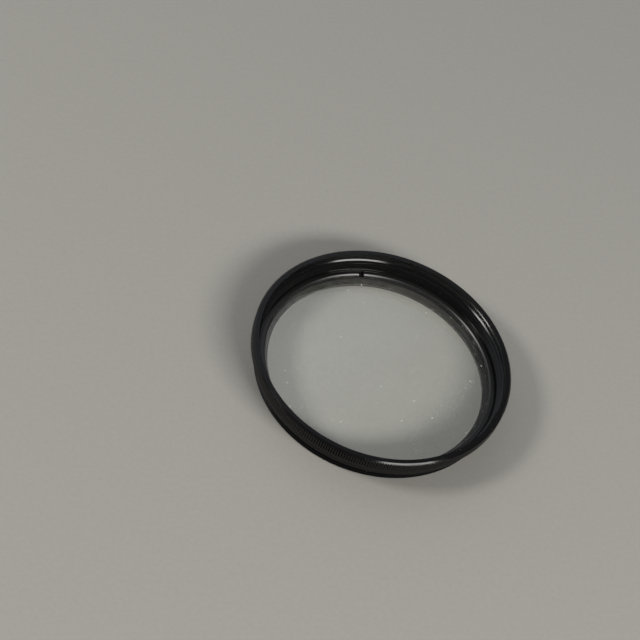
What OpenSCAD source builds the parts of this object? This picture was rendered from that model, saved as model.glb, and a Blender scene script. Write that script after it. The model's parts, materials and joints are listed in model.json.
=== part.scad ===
// Screw-in soft focus filter: a knurled rim, a bevelled glass disc and the
// threaded ring that holds the glass down. Millimetres, +Z towards the front
// of the lens, origin at the centre of the rear end. Each lens thread is drawn
// as the plain wall that its crests lie on.

/* [Lens thread] */
// Nominal diameter of the lens thread, male behind and female in front
thread_d = 52; // [43:0.5:82]
// Pitch of the lens thread
thread_pitch = 0.75; // [0.5:0.05:1]
// Length of the male thread behind the collar, with its relief groove
male_h = 2.8; // [2:0.1:4.5]
// Width of the relief groove between the male thread and the collar
relief_w = 0.6; // [0.3:0.05:1]
// Crest of the male thread below the nominal diameter, on the diameter
male_allowance = 0.1; // [0.02:0.02:0.2]
// Chamfer at the free end of the male thread
male_chamfer = 0.45; // [0.2:0.05:0.6]

/* [Grip and collar] */
// Wall of the collar outside the lens thread
collar_wall = 0.6; // [0.3:0.05:2]
// Height of the plain collar behind the grip
collar_h = 2.3; // [1:0.1:4]
// How far the grip stands out from the collar
grip_step = 0.9; // [0.5:0.05:2]
// Height of the knurled grip
grip_h = 2.7; // [2:0.1:5]
// Chamfer at the front edge of the grip
grip_chamfer = 0.5; // [0.2:0.05:0.8]
// Chamfer at the rear edges of the grip and the collar
rear_chamfer = 0.15; // [0.05:0.05:0.25]
// Number of straight grooves in the knurl
knurl_count = 312; // [180:4:360]
// Depth of a knurl groove
knurl_depth = 0.2; // [0.1:0.02:0.3]
// Share of the knurl's pitch that a groove takes at its mouth
knurl_mouth = 0.6; // [0.4:0.05:0.75]

/* [Front mouth] */
// Depth of the smooth mouth in front of the female thread
mouth_h = 2.4; // [1.2:0.1:2.6]
// Clearance of the mouth round the lens thread, on the diameter
mouth_clearance = 0.5; // [0.1:0.1:0.8]
// Chamfer at the edge of the mouth
mouth_chamfer = 0.05; // [0.05:0.05:0.3]

/* [Glass seat] */
// Wall between the seat and the relief groove of the male thread
seat_wall = 0.45; // [0.4:0.05:1.5]
// Width of the lip under the glass, from the seat's wall to the clear opening
lip_w = 1.95; // [1.5:0.05:3]
// Thickness of the rear lip
lip_h = 0.6; // [0.4:0.05:1.2]
// How far the seat's wall rises past the front of the retaining ring
ledge_rise = 0.02; // [0:0.01:0.5]
// Least height of the neck between the collar's rear face and the ledge
neck_h = 0.4; // [0.3:0.05:1]

/* [Glass] */
// Thickness of the glass
glass_t = 1.4; // [1:0.1:3]
// Bevel at both edges of the glass
glass_bevel = 0.2; // [0.05:0.05:0.4]
// Radial clearance of the glass in its seat
glass_clearance = 0.1; // [0.02:0.02:0.3]

/* [Retaining ring] */
// Width of the retaining ring across its wall
ring_w = 1; // [0.6:0.05:1.3]
// Radial clearance of the retaining ring's thread in the rim
ring_clearance = 0.03; // [0.01:0.01:0.1]
// Height of the retaining ring
ring_h = 1.38; // [1:0.01:1.8]
// Chamfer at the front inner edge of the retaining ring
ring_chamfer = 0.25; // [0.1:0.05:0.3]
// Number of spanner slots in the retaining ring
slot_count = 2; // [2:1:4]
// Width of a spanner slot
slot_w = 1.15; // [0.6:0.05:2]
// Depth of a spanner slot, which leaves a web on the glass side
slot_h = 0.9; // [0.3:0.05:0.9]

/* [Hidden] */
$fn = 180;
overrun = 1;
// Radii of the lens thread, whose basic depth is 0.5413 of its pitch
thread_depth = 0.5413 * thread_pitch;
male_r = (thread_d - male_allowance) / 2;
relief_r = male_r - thread_depth;
female_r = thread_d / 2 - thread_depth;
mouth_r = (thread_d + mouth_clearance) / 2;
// Radii of the outside
collar_r = thread_d / 2 + collar_wall;
grip_r = collar_r + grip_step;
root_r = grip_r - knurl_depth;
// Radii of the seat, which holds the glass and, above it, the retaining ring
seat_r = relief_r - seat_wall;
aperture_r = seat_r - lip_w;
glass_r = seat_r - glass_clearance;
ring_outer_r = seat_r - ring_clearance;
ring_inner_r = ring_outer_r - ring_w;
// Heights of the glass, the retaining ring and the ledge round it, which rises
// further where the neck needs it
glass_z = lip_h;
ring_z = glass_z + glass_t;
ledge_z = max(ring_z + ring_h + ledge_rise, male_h + neck_h);
// Heights of the grip, the front and the top of the female thread
grip_z = male_h + collar_h;
front_z = grip_z + grip_h;
thread_top_z = front_z - mouth_h;

// Half section of the rim, round the outside from the rear end and back inside
module rim_section() {
    polygon([
        [aperture_r, 0],
        [male_r - male_chamfer, 0],
        [male_r, male_chamfer],
        [male_r, male_h - relief_w],
        [relief_r, male_h - relief_w + thread_depth],
        [relief_r, male_h],
        [collar_r - rear_chamfer, male_h],
        [collar_r, male_h + rear_chamfer],
        [collar_r, grip_z],
        [grip_r - rear_chamfer, grip_z],
        [grip_r, grip_z + rear_chamfer],
        [grip_r, front_z - grip_chamfer],
        [grip_r - grip_chamfer, front_z],
        [mouth_r + mouth_chamfer, front_z],
        [mouth_r, front_z - mouth_chamfer],
        [mouth_r, thread_top_z + mouth_r - female_r],
        [female_r, thread_top_z],
        [female_r, ledge_z],
        [seat_r, ledge_z],
        [seat_r, lip_h],
        [aperture_r, lip_h]
    ]);
}

// Outline of the knurl: V grooves between lands that lie just outside the grip
module knurl_outline() {
    pitch_a = 360 / knurl_count;
    land_r = grip_r + knurl_depth / 4;
    // Half the angle of a groove, where its flanks reach the land radius
    flank_a = pitch_a * knurl_mouth / 2 * (land_r - root_r) / knurl_depth;
    // Radius and angle of a tooth's corners: groove bottom, then both ends of the land
    tooth = [[root_r, 0], [land_r, flank_a], [land_r, pitch_a - flank_a]];
    polygon([
        for (i = [0 : knurl_count - 1], corner = tooth)
            corner[0] * [cos(i * pitch_a + corner[1]), sin(i * pitch_a + corner[1])]
    ]);
}

// The rim is turned in one piece, and the knurl is rolled into its grip
module filter_rim() {
    color([0.06, 0.06, 0.07])
        intersection() {
            rotate_extrude()
                rim_section();
            translate([0, 0, -overrun])
                linear_extrude(front_z + 2 * overrun)
                    knurl_outline();
        }
}

// Flat glass disc with a ground bevel at both edges
module soft_focus_glass() {
    color([0.85, 0.88, 0.88, 0.35])
        translate([0, 0, glass_z])
            rotate_extrude()
                polygon([
                    [0, 0],
                    [glass_r - glass_bevel, 0],
                    [glass_r, glass_bevel],
                    [glass_r, glass_t - glass_bevel],
                    [glass_r - glass_bevel, glass_t],
                    [0, glass_t]
                ]);
}

// Threaded ring, screwed down on the glass, with slots for a pin spanner
module retaining_ring() {
    color([0.08, 0.08, 0.08])
        translate([0, 0, ring_z])
            difference() {
                rotate_extrude()
                    polygon([
                        [ring_inner_r, 0],
                        [ring_outer_r, 0],
                        [ring_outer_r, ring_h],
                        [ring_inner_r + ring_chamfer, ring_h],
                        [ring_inner_r, ring_h - ring_chamfer]
                    ]);
                for (i = [0 : slot_count - 1])
                    rotate([0, 0, 90 + i * 360 / slot_count])
                        translate([ring_inner_r - overrun, -slot_w / 2, ring_h - slot_h])
                            cube([ring_w + 2 * overrun, slot_w, slot_h + overrun]);
            }
}

filter_rim();
soft_focus_glass();
retaining_ring();
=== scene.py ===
import json

import bpy
import numpy as np
from mathutils import Matrix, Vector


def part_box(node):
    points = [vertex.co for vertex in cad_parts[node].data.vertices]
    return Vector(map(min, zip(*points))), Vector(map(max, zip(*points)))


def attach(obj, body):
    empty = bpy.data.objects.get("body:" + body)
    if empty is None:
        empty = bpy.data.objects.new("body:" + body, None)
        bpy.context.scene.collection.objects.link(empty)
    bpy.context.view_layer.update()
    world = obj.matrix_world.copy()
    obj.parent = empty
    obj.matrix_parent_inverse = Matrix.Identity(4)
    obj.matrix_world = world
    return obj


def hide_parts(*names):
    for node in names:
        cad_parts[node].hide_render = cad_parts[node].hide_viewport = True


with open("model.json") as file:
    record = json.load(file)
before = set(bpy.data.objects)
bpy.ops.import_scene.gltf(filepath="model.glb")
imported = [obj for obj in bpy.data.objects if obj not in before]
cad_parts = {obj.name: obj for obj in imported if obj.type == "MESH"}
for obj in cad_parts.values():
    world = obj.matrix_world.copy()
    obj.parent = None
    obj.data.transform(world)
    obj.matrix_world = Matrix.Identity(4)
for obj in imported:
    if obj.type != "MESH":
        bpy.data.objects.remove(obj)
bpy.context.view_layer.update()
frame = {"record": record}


# Filter rim: one piece turned from aluminium and black anodised. Both lens threads
# are cut, the knurl is rolled into the grip, and a lip at the rear carries the glass.
# Its sizes are in millimetres.
mm = 0.001
mounts = {mount["name"]: mount for mount in frame["record"]["mounts"]}
grip_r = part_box("filter_rim")[1][0] / mm
front_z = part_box("filter_rim")[1][2] / mm
pitch = 0.75
thread_depth = 0.5413 * pitch
male_r = mounts["male_thread"]["dims"]["r_mm"]
relief_r = male_r - thread_depth
female_r = mounts["front_thread"]["dims"]["r_mm"]
female_root_r = female_r + thread_depth
mouth_clearance = 0.25
mouth_r = female_root_r + mouth_clearance
collar_r = 26.6
collar_z = 2.8
grip_z = 5.1
relief_w = 0.6
rear_chamfer = 0.15
grip_chamfer = 0.38
mouth_h = 2.4
groove_drop = 0.5
groove_z = front_z - groove_drop
groove_depth = 0.18
groove_floor_h = 0.18
groove_front_h = 0.05
groove_rear_h = 0.84 * groove_depth
runout = 0.2
seat_wall = 0.45
seat_r = relief_r - seat_wall
lip_w = 1.95
aperture_r = seat_r - lip_w
lip_z = 0.6
ledge_z = 3.4
male_chamfer = 0.45
knurl_count = 312
knurl_depth = 0.17
knurl_mouth = 0.6


def eased(outline):
    """Rows of (radius, height) from corners (radius, height, ease). Two points stand
    for a corner, each set back from it by the ease along one of its two sides."""
    corner = np.array(outline, float)
    point, ease = corner[:, :2], corner[:, 2:]
    side = np.diff(point, axis=0)
    side /= np.linalg.norm(side, axis=1, keepdims=True)
    still = np.zeros((1, 2))
    arriving, leaving = np.vstack([still, side]), np.vstack([side, still])
    return np.stack([point - ease * arriving, point + ease * leaving], axis=1).reshape(-1, 2)


def thread(turn, low, high, crest, root):
    """Radius and height rows of a right-hand thread. The section's corners start at
    shares of the pitch and rise by one pitch a turn: height = low + pitch (k + share
    + turn), held between low and high. The radius follows crest, flank, root and
    flank over what is left of the height after whole pitches."""
    share = np.array([0, 0.17, 0.46, 0.71])
    level = np.arange(-1, np.ceil((high - low) / pitch))[:, None] + share
    height = np.clip(low + pitch * (level.reshape(-1, 1) + turn), low, high)
    height = np.vstack([np.full_like(turn, low), height, np.full_like(turn, high)])
    phase = ((height - low) / pitch - turn) % 1
    return np.interp(phase, [*share, 1], [crest, crest, root, root, crest]), height


def around(turn, radius, height):
    """Points radius (cos a, sin a) at height, with a = 360 degrees x turn, in metres."""
    angle = 2 * np.pi * turn
    radius, height = np.broadcast_arrays(radius, height)
    points = np.stack([radius * np.cos(angle), radius * np.sin(angle), height], axis=-1)
    return mm * points.reshape(-1, 3)


def cells(start, rows, columns):
    """Two triangles for each cell of a grid whose points are numbered row by row."""
    a = start + (np.arange(rows - 1)[:, None] * columns + np.arange(columns - 1)).ravel()
    b, c, d = a + 1, a + columns + 1, a + columns
    return np.concatenate([np.stack([a, b, c], 1), np.stack([a, c, d], 1)])


def seam(coarse, fine, columns):
    """Triangles from a row to the next one, which has three cells for each of its own."""
    c, f = coarse + np.arange(columns - 1), fine + 3 * np.arange(columns - 1)
    fan = [[c, f + 1, f], [c, c + 1, f + 1], [c + 1, f + 2, f + 1], [c + 1, f + 3, f + 2]]
    return np.concatenate([np.stack(three, 1) for three in fan])


def mesh_object(name, points, triangles):
    """Object of triangles. Points at one place become one point, and triangles that
    lose their area by that are dropped, so a grid closes round the axis and at ends."""
    least_step = 1e-8
    place, first, same = np.unique(
        np.round(points / least_step).astype(np.int64),
        axis=0, return_index=True, return_inverse=True,
    )
    triangles = same.reshape(-1)[triangles]
    a, b, c = triangles.T
    triangles = triangles[(a != b) & (b != c) & (c != a)].astype(np.int32)
    mesh = bpy.data.meshes.new(name)
    mesh.vertices.add(len(place))
    mesh.vertices.foreach_set("co", points[first].ravel())
    mesh.loops.add(triangles.size)
    mesh.loops.foreach_set("vertex_index", triangles.ravel())
    mesh.polygons.add(len(triangles))
    mesh.polygons.foreach_set("loop_start", np.arange(0, triangles.size, 3, dtype=np.int32))
    mesh.update(calc_edges=True)
    mesh.validate()
    piece = bpy.data.objects.new(name, mesh)
    bpy.context.scene.collection.objects.link(piece)
    return piece


def shade(piece):
    """Smooth faces that break at edges over an angle, so that each flat of the section
    keeps its own normal."""
    sharp_degrees = 15
    piece.data.shade_smooth()
    piece.data.set_sharp_from_angle(angle=np.radians(sharp_degrees))


def rim_mesh():
    """The rim's half section carried round the axis. The knurled band has three times
    the columns of the rest, and its radius is the lesser of section and knurl. A seam
    joins the two on the band's rear face and on the front face. Both threads fade out at
    their ends, where a slope of 45 degrees limits their radius."""
    turn = np.arange(2 * knurl_count + 1) / (2 * knurl_count)
    tooth_bevel = 0.04
    share = np.array([0, knurl_mouth / 2 - tooth_bevel, knurl_mouth / 2 + tooth_bevel])
    share = np.concatenate([share, [0.5], 1 - share[:0:-1]])
    fine_turn = np.append((np.arange(knurl_count)[:, None] + share).ravel(), knurl_count) / knurl_count
    knurl = np.interp(
        fine_turn * knurl_count % 1,
        [0, knurl_mouth / 2, 1 - knurl_mouth / 2, 1],
        [grip_r - knurl_depth, grip_r, grip_r, grip_r - knurl_depth],
    )
    rear_seam_r = collar_r + 0.5
    front_seam_r = grip_r - grip_chamfer - 0.25
    band = eased([
        (rear_seam_r + 0.15, grip_z, 0),
        (grip_r - rear_chamfer, grip_z, 0.02),
        (grip_r, grip_z + rear_chamfer, 0.02),
        (grip_r, front_z - grip_chamfer, 0.02),
        (grip_r - knurl_depth, front_z - grip_chamfer + knurl_depth, 0),
        (grip_r - grip_chamfer, front_z, 0.02),
        (front_seam_r + 0.1, front_z, 0),
    ])
    mouth_z = front_z - mouth_h
    slope = mouth_r - female_r
    mouth = eased([
        (front_seam_r, front_z, 0),
        (mouth_r, front_z, 0),
        (mouth_r, groove_z + groove_front_h, 0),
        (mouth_r + groove_depth, groove_z, 0),
        (mouth_r + groove_depth, groove_z - groove_floor_h, 0),
        (mouth_r, groove_z - groove_floor_h - groove_rear_h, 0),
        (mouth_r, mouth_z + slope, 0),
        (female_root_r, mouth_z + thread_depth, 0),
    ])
    seat = eased([
        (female_r, ledge_z + runout, 0),
        (female_r, ledge_z, 0.02),
        (seat_r, ledge_z, 0.01),
        (seat_r, lip_z, 0.02),
        (aperture_r, lip_z, 0.02),
        (aperture_r, 0, 0.03),
        (male_r - male_chamfer, 0, 0.02),
    ])
    tail = eased([
        (relief_r, collar_z, 0.02),
        (collar_r - rear_chamfer, collar_z, 0.02),
        (collar_r, collar_z + rear_chamfer, 0.02),
        (collar_r, grip_z, 0.03),
        (rear_seam_r, grip_z, 0),
    ])
    low, high = ledge_z + runout, mouth_z + thread_depth
    female, female_z = thread(turn, low, high, female_r, female_root_r)
    female = np.maximum(female, female_root_r - (high - female_z))
    female = np.minimum(female, female_r + (female_z - low))
    low, high = relief_r - (male_r - male_chamfer), collar_z - relief_w + thread_depth
    male, male_z = thread(turn, low, high, male_r, relief_r)
    male = np.minimum(male, relief_r + np.minimum(male_z - low, high - male_z))
    even = np.ones_like(turn)
    radius = [mouth[:, :1] * even, female[::-1], seat[:, :1] * even, male, tail[:, :1] * even]
    height = [mouth[:, 1:] * even, female_z[::-1], seat[:, 1:] * even, male_z, tail[:, 1:] * even]
    radius, height = np.vstack(radius), np.vstack(height)
    coarse = around(turn, radius, height)
    fine = around(fine_turn, np.minimum(band[:, :1], knurl), band[:, 1:])
    rows, columns = radius.shape
    last_row, band_start = (rows - 1) * columns, rows * columns
    band_end = band_start + (len(band) - 1) * len(fine_turn)
    triangles = np.concatenate([
        cells(0, rows, columns),
        seam(last_row, band_start, columns),
        cells(band_start, len(band), len(fine_turn)),
        seam(0, band_end, columns)[:, ::-1],
    ])
    return mesh_object("anodised_rim", np.concatenate([coarse, fine]), triangles)


def node(tree, kind, settings=(), **sockets):
    """Adds a shader node. Each socket is named with _ for a space, and takes a value
    or the output that feeds it."""
    made = tree.nodes.new(kind)
    for name, value in dict(settings).items():
        setattr(made, name, value)
    for name, value in sockets.items():
        socket = made.inputs[name.replace("_", " ")]
        if isinstance(value, bpy.types.NodeSocket):
            tree.links.new(value, socket)
        else:
            socket.default_value = value
    return made


def maths(tree, operation, *values):
    """Output of a Math node on one, two or three values or outputs."""
    made = tree.nodes.new("ShaderNodeMath")
    made.operation = operation
    for socket, value in zip(made.inputs, values):
        if isinstance(value, bpy.types.NodeSocket):
            tree.links.new(value, socket)
        else:
            socket.default_value = value
    return made.outputs[0]


def empty_material(name):
    """Node material with nothing but its output."""
    made = bpy.data.materials.new(name)
    made.use_nodes = True
    made.node_tree.nodes.clear()
    return made, made.node_tree, node(made.node_tree, "ShaderNodeOutputMaterial")


def mixed_colour(tree, share, first, second):
    """Colour between two colours, by a share from 0 to 1."""
    mix = node(tree, "ShaderNodeMix", {"data_type": "RGBA"})
    tree.links.new(share, mix.inputs[0])
    mix.inputs[6].default_value = (*first, 1)
    mix.inputs[7].default_value = (*second, 1)
    return mix.outputs[2]


def direction(azimuth, elevation):
    """Unit vector from two angles in degrees: (cos a cos e, sin a cos e, sin e)."""
    a, e = np.radians([azimuth, elevation])
    return np.array([np.cos(a) * np.cos(e), np.sin(a) * np.cos(e), np.sin(e)])


def along(tree, vector, azimuth, elevation):
    """Dot product of a vector with a direction."""
    dot = node(tree, "ShaderNodeVectorMath", {"operation": "DOT_PRODUCT"})
    tree.links.new(vector, dot.inputs[0])
    dot.inputs[1].default_value = direction(azimuth, elevation)
    return dot.outputs["Value"]


def specks(tree, place, per_metre, size, share, dimensions="3D"):
    """Mask of dust specks. Of the cells of a Voronoi pattern the given share has one, and
    it is 1 up to the size from the cell's point, in widths of a cell."""
    spots = node(
        tree, "ShaderNodeTexVoronoi", {"voronoi_dimensions": dimensions},
        Vector=place, Scale=per_metre,
    )
    chosen = node(tree, "ShaderNodeSeparateColor", Color=spots.outputs["Color"])
    near = maths(tree, "LESS_THAN", spots.outputs["Distance"], size)
    return maths(tree, "MULTIPLY", near, maths(tree, "LESS_THAN", chosen.outputs[0], share))


def radius_and_height(tree, place):
    """Distance from the axis and height of a place, in metres."""
    split = node(tree, "ShaderNodeSeparateXYZ", Vector=place)
    flat = node(tree, "ShaderNodeCombineXYZ", X=split.outputs["X"], Y=split.outputs["Y"])
    from_axis = node(tree, "ShaderNodeVectorMath", {"operation": "LENGTH"})
    tree.links.new(flat.outputs[0], from_axis.inputs[0])
    return from_axis.outputs["Value"], split.outputs["Z"]


def settled_dust_and_painted_sheen(tree, place, patches):
    """Share of grey on the lip under the glass, with a trace of it in the thread above: settled
    dust in patches, plus painted highlight rings and a painted sheen that is brightest on one
    side: (0.1 + 0.9 patches + 0.32 sine of radius and height added) x (0.72 + 0.45 cosine of
    the angle round the axis from the side where the painted sheen is brightest)."""
    sheen_azimuth, ring_spacing = 143, 0.4 * mm
    full_share, trace_share = 0.36, 0.05
    margin = 0.05
    thread_z, thread_reach = ledge_z + 1, 1.1
    radius, height = radius_and_height(tree, place)
    on_lip = maths(
        tree, "MULTIPLY",
        maths(tree, "LESS_THAN", radius, (seat_r - margin) * mm),
        maths(tree, "COMPARE", height, (lip_z / 2 + margin) * mm, lip_z / 2 * mm),
    )
    in_thread = maths(
        tree, "MULTIPLY",
        maths(tree, "LESS_THAN", radius, (female_root_r + margin) * mm),
        maths(tree, "COMPARE", height, thread_z * mm, thread_reach * mm),
    )
    where = maths(tree, "MULTIPLY_ADD", in_thread, trace_share, on_lip)
    # Painted highlight: light rings round the axis, standing in for lamp light off turned grooves.
    turn = maths(tree, "MULTIPLY", maths(tree, "ADD", radius, height), 2 * np.pi / ring_spacing)
    painted_rings = maths(tree, "MULTIPLY_ADD", maths(tree, "SINE", turn), 0.32, 0.1)
    # Painted sheen: the grey is brighter towards one side round the axis, where lamp light is
    # reflected.
    cosine = maths(tree, "DIVIDE", along(tree, place, sheen_azimuth, 0), radius)
    amount = maths(
        tree, "MULTIPLY",
        maths(tree, "MULTIPLY_ADD", patches, 0.9, painted_rings),
        maths(tree, "MULTIPLY_ADD", cosine, 0.45, 0.72),
    )
    return maths(tree, "MULTIPLY", where, maths(tree, "MULTIPLY", amount, full_share))


def anodised(name, colour, roughness, shine):
    """Black anodised aluminium: dark, half gloss, with fine marks of the turning tool that
    run round the axis, a slightly uneven gloss, specks of dust, and low in the rim settled
    dust with painted highlight rings and a painted sheen on it."""
    made, tree, output = empty_material(name)
    place = node(tree, "ShaderNodeTexCoord").outputs["Object"]
    radius, height = radius_and_height(tree, place)
    turned = node(
        tree, "ShaderNodeTexNoise", {"noise_dimensions": "2D"},
        Vector=node(tree, "ShaderNodeCombineXYZ", X=radius, Y=height).outputs[0],
        Scale=9000.0, Detail=2.0,
    )
    cloud = node(tree, "ShaderNodeTexNoise", Vector=place, Scale=700.0, Detail=4.0)
    fine = specks(tree, place, per_metre=1500.0, size=0.09, share=0.3)
    lint = specks(tree, place, per_metre=420.0, size=0.04, share=0.3)
    dust = maths(tree, "MAXIMUM", fine, lint)
    # Grey low in the rim: settled dust, with painted highlight rings and a painted sheen brighter on
    # one side.
    dust_and_sheen = settled_dust_and_painted_sheen(tree, place, cloud.outputs["Fac"])
    covered = maths(tree, "MAXIMUM", maths(tree, "MULTIPLY", dust, 0.25), dust_and_sheen)
    gloss = maths(tree, "MULTIPLY_ADD", cloud.outputs["Fac"], 0.08, roughness - 0.04)
    gloss = maths(tree, "MAXIMUM", gloss, maths(tree, "MULTIPLY", dust, 0.5))
    bump = node(
        tree, "ShaderNodeBump", Strength=0.08, Distance=0.00001, Height=turned.outputs["Fac"]
    )
    shader = node(
        tree, "ShaderNodeBsdfPrincipled",
        Base_Color=mixed_colour(tree, covered, colour, (0.30, 0.29, 0.26)),
        Roughness=gloss, Specular_IOR_Level=shine, Normal=bump.outputs[0],
    )
    tree.links.new(shader.outputs[0], output.inputs["Surface"])
    return made


rim = rim_mesh()
shade(rim)
rim.data.materials.append(anodised("black_anodised", (0.003, 0.003, 0.0032), 0.16, 0.22))
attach(rim, "root")
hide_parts("filter_rim")


# Retaining ring: a thin ring turned from aluminium, threaded outside and screwed down on
# the glass. Two slots across its front take a pin spanner.
ring_low, ring_high = (corner[2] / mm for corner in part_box("retaining_ring"))
ring_outer_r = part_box("retaining_ring")[1][1] / mm
ring_w = 1
ring_inner_r = ring_outer_r - ring_w
ring_chamfer = 0.25
slot_w = 1.15
slot_h = 0.9
slot_floor = ring_high - slot_h
slot_centres = (90, 270)


def ring_mesh():
    """The ring's section carried round the axis. Columns near a slot are planes along it,
    offset from its centre by middle radius x sin a, so that its walls are parallel, and they
    fade into radial ones. The section is cut down to the slot's floor between the two
    columns at each wall."""
    middle = (ring_outer_r + ring_inner_r) / 2
    edge = np.degrees(np.arcsin(slot_w / 2 / middle))
    reach, fade = 9, 6
    near, far = np.linspace(edge, reach, 24), np.linspace(reach, 90, 163)
    half = np.concatenate([[0, edge / 2, edge], near, far[1:]])
    inside = np.arange(len(half)) < 3
    a = np.concatenate([-half[:0:-1], half])
    inside = np.concatenate([inside[:0:-1], inside])
    section = np.array([
        (ring_inner_r, ring_low),
        (ring_outer_r, ring_low),
        (ring_outer_r, ring_high),
        (ring_inner_r + ring_chamfer, ring_high),
        (ring_inner_r, ring_high - ring_chamfer),
        (ring_inner_r, slot_floor),
        (ring_inner_r, ring_low),
    ])
    radius, height = section[:, :1], section[:, 1:]
    planar = np.degrees(np.arcsin(np.clip(middle * np.sin(np.radians(a)) / radius, -1, 1)))
    share = np.clip((reach - np.abs(a)) / fade, 0, 1)
    angle = a + (planar - a) * share
    height = np.where(inside, np.minimum(height, slot_floor), height)
    turns = np.hstack([angle + centre for centre in slot_centres]) / 360
    height = np.hstack([height] * len(slot_centres))
    points = around(turns, radius, height)
    rows, columns = turns.shape
    return mesh_object("slotted_ring", points, cells(0, rows, columns)[:, ::-1])


slotted = ring_mesh()
edges = slotted.modifiers.new("broken_edges", "BEVEL")
edges.width = 0.015 * mm
edges.segments = 2
edges.limit_method = "ANGLE"
edges.angle_limit = np.radians(28)
shade(slotted)
slotted.data.materials.append(anodised("black_anodised_ring", (0.007, 0.007, 0.007), 0.34, 0.45))
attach(slotted, "root")
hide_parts("retaining_ring")


# Soft focus glass: a flat disc of optical glass, ground round with a bevel at both edges.
# A faint haze and fine dust lie on it.
glass_low, glass_high = (corner[2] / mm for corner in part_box("soft_focus_glass"))
glass_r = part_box("soft_focus_glass")[1][0] / mm
glass_bevel = 0.2


def glass_mesh():
    """The disc's section carried round the axis, from the middle of one face to the other."""
    turn = np.arange(361) / 360
    section = eased([
        (0, glass_low, 0),
        (glass_r - glass_bevel, glass_low, 0.03),
        (glass_r, glass_low + glass_bevel, 0.03),
        (glass_r, glass_high - glass_bevel, 0.03),
        (glass_r - glass_bevel, glass_high, 0.03),
        (0, glass_high, 0),
    ])
    even = np.ones_like(turn)
    points = around(turn, section[:, :1] * even, section[:, 1:] * even)
    return mesh_object("diffusion_glass", points, cells(0, len(section), len(turn)))


def hazy_glass():
    """Clear glass with a thin white haze, and dust specks on its front face. Rays from
    lamps pass straight through it, so that it throws no dark shadow."""
    made, tree, output = empty_material("hazy_glass")
    place = node(tree, "ShaderNodeTexCoord").outputs["Object"]
    clear = node(
        tree, "ShaderNodeBsdfPrincipled", Base_Color=(0.97, 0.98, 0.97, 1), Roughness=0.0,
        IOR=1.52, Transmission_Weight=1.0,
    )
    haze = node(tree, "ShaderNodeBsdfDiffuse", Color=(0.78, 0.79, 0.77, 1))
    cloud = node(tree, "ShaderNodeTexNoise", Vector=place, Scale=90.0, Detail=5.0)
    veil = maths(tree, "MULTIPLY_ADD", cloud.outputs["Fac"], 0.03, 0.01)
    fine = specks(tree, place, per_metre=800.0, size=0.13, share=0.25, dimensions="2D")
    lint = specks(tree, place, per_metre=300.0, size=0.05, share=0.1, dimensions="2D")
    both = maths(
        tree, "MAXIMUM", maths(tree, "MULTIPLY", fine, 0.2), maths(tree, "MULTIPLY", lint, 0.6)
    )
    height = node(tree, "ShaderNodeSeparateXYZ", Vector=place).outputs["Z"]
    in_front = maths(tree, "GREATER_THAN", height, (glass_low + glass_high) / 2 * mm)
    dust = maths(tree, "MULTIPLY", both, in_front)
    covered = maths(tree, "MAXIMUM", veil, dust)
    surface = node(tree, "ShaderNodeMixShader", Fac=covered)
    tree.links.new(clear.outputs[0], surface.inputs[1])
    tree.links.new(haze.outputs[0], surface.inputs[2])
    passing = node(tree, "ShaderNodeBsdfTransparent", Color=(0.93, 0.94, 0.93, 1))
    path = node(tree, "ShaderNodeLightPath")
    lit = maths(tree, "MAXIMUM", path.outputs["Is Shadow Ray"], path.outputs["Is Diffuse Ray"])
    either = node(tree, "ShaderNodeMixShader", Fac=lit)
    tree.links.new(surface.outputs[0], either.inputs[1])
    tree.links.new(passing.outputs[0], either.inputs[2])
    tree.links.new(either.outputs[0], output.inputs["Surface"])
    return made


glass = glass_mesh()
shade(glass)
glass.data.materials.append(hazy_glass())
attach(glass, "root")
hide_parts("soft_focus_glass")


# Camera: it stands where the photograph was taken from. The middle of the front rim and
# the filter's own axis lie in its view as they do there.
photo_px = 640
focal_px = 2000
middle_px = (384.0, 352.95)
distance = 0.4117
axis_seen = np.array([0.234, -0.604, -0.7618])
slot_seen_degrees = 267.3

camera = bpy.data.objects.new("camera", bpy.data.cameras.new("camera"))
camera.data.sensor_width = 36
camera.data.lens = focal_px / photo_px * camera.data.sensor_width
camera.data.clip_start = 0.01


def place_camera():
    """Camera matrix from the filter as the camera sees it, with x right, y down and z away.
    The seen axis is +Z, and the slot's direction across it, counted from the level line, is
    +Y. Turned round, these three directions give the camera's place in the filter's frame."""
    axis = axis_seen / np.linalg.norm(axis_seen)
    level = np.cross([0, 1, 0], axis)
    level /= np.linalg.norm(level)
    across = np.cross(axis, level)
    a = np.radians(slot_seen_degrees)
    slot = np.cos(a) * level + np.sin(a) * across
    seen = np.stack([np.cross(slot, axis), slot, axis], axis=1)
    offset = (np.array(middle_px) - photo_px / 2) / focal_px
    middle = distance * np.array([*offset, 1])
    matrix = np.identity(4)
    matrix[:3, :3] = seen.T * [1, -1, -1]
    matrix[:3, 3] = [0, 0, front_z * mm] - seen.T @ middle
    return matrix


camera.matrix_world = Matrix(place_camera())
bpy.context.scene.collection.objects.link(camera)
bpy.context.scene.camera = camera


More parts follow.
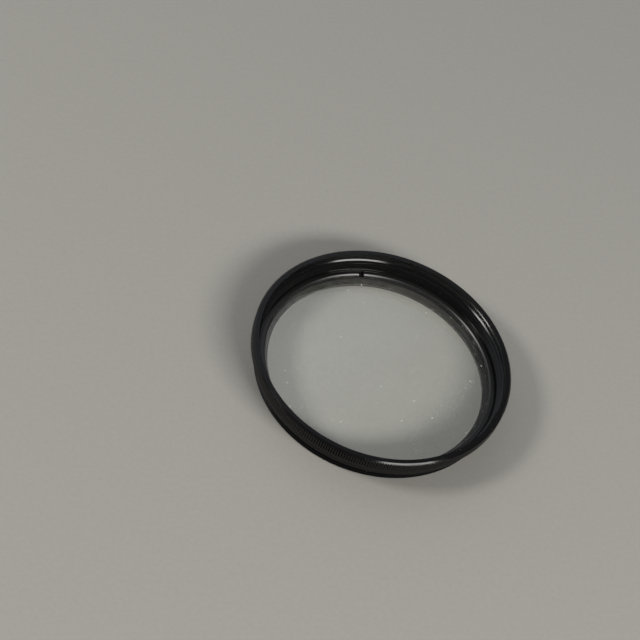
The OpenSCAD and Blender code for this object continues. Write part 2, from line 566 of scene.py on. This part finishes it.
# Studio: a plain pale grey table top under two soft lamps, in a dim room with a pale wall
# on one side.
def table_top():
    """Square sheet just under the filter."""
    reach, drop = 3.0, 0.00002
    mesh = bpy.data.meshes.new("table_top")
    corners = [(-reach, -reach), (reach, -reach), (reach, reach), (-reach, reach)]
    mesh.from_pydata([(x, y, -drop) for x, y in corners], [], [(0, 1, 2, 3)])
    table = bpy.data.objects.new("table_top", mesh)
    bpy.context.scene.collection.objects.link(table)
    made, tree, output = empty_material("grey_paper")
    place = node(tree, "ShaderNodeTexCoord").outputs["Object"]
    grain = node(tree, "ShaderNodeTexNoise", Vector=place, Scale=1100.0, Detail=3.0)
    tint = mixed_colour(tree, grain.outputs["Fac"], (0.283, 0.274, 0.25), (0.32, 0.309, 0.284))
    shader = node(tree, "ShaderNodeBsdfPrincipled", Base_Color=tint, Roughness=0.9)
    tree.links.new(shader.outputs[0], output.inputs["Surface"])
    mesh.materials.append(made)


def softbox(name, azimuth, elevation, away, tilt, size, power):
    """Lamp that looks at the filter from a direction and with a tilt given in degrees."""
    lamp = bpy.data.lights.new(name, "AREA")
    lamp.shape = "RECTANGLE"
    lamp.size, lamp.size_y = size
    lamp.energy = power
    lamp.color = (1.0, 0.98, 0.95)
    toward, level = direction(azimuth, elevation), direction(azimuth + 90, 0)
    t = np.radians(tilt)
    side = np.cos(t) * level + np.sin(t) * np.cross(toward, level)
    matrix = np.identity(4)
    matrix[:3, :3] = np.stack([side, np.cross(toward, side), toward], axis=1)
    matrix[:3, 3] = away * toward
    box = bpy.data.objects.new(name, lamp)
    box.matrix_world = Matrix(matrix)
    bpy.context.scene.collection.objects.link(box)


def pale_walled_room():
    """World that is dim and even, with a pale wall on one side. A direction's nearness to
    the wall is its dot product with the direction of the wall's middle."""
    world = bpy.data.worlds.new("pale_walled_room")
    world.use_nodes = True
    tree = world.node_tree
    toward = node(tree, "ShaderNodeTexCoord").outputs["Generated"]
    edge = node(
        tree, "ShaderNodeMapRange", {"interpolation_type": "SMOOTHSTEP"},
        Value=along(tree, toward, 110, 20), From_Min=0.62, From_Max=0.71,
    )
    tint = mixed_colour(tree, edge.outputs[0], (0.16, 0.164, 0.172), (0.69, 0.715, 0.76))
    tree.links.new(tint, tree.nodes["Background"].inputs["Color"])
    bpy.context.scene.world = world


table_top()
softbox("near_lamp", -65, 35, away=0.9, tilt=-15, size=(0.53, 0.17), power=7.4)
softbox("left_lamp", 174, 38.5, away=0.9, tilt=0, size=(0.25, 0.18), power=4.1)
pale_walled_room()
bpy.context.scene.view_settings.view_transform = "Standard"
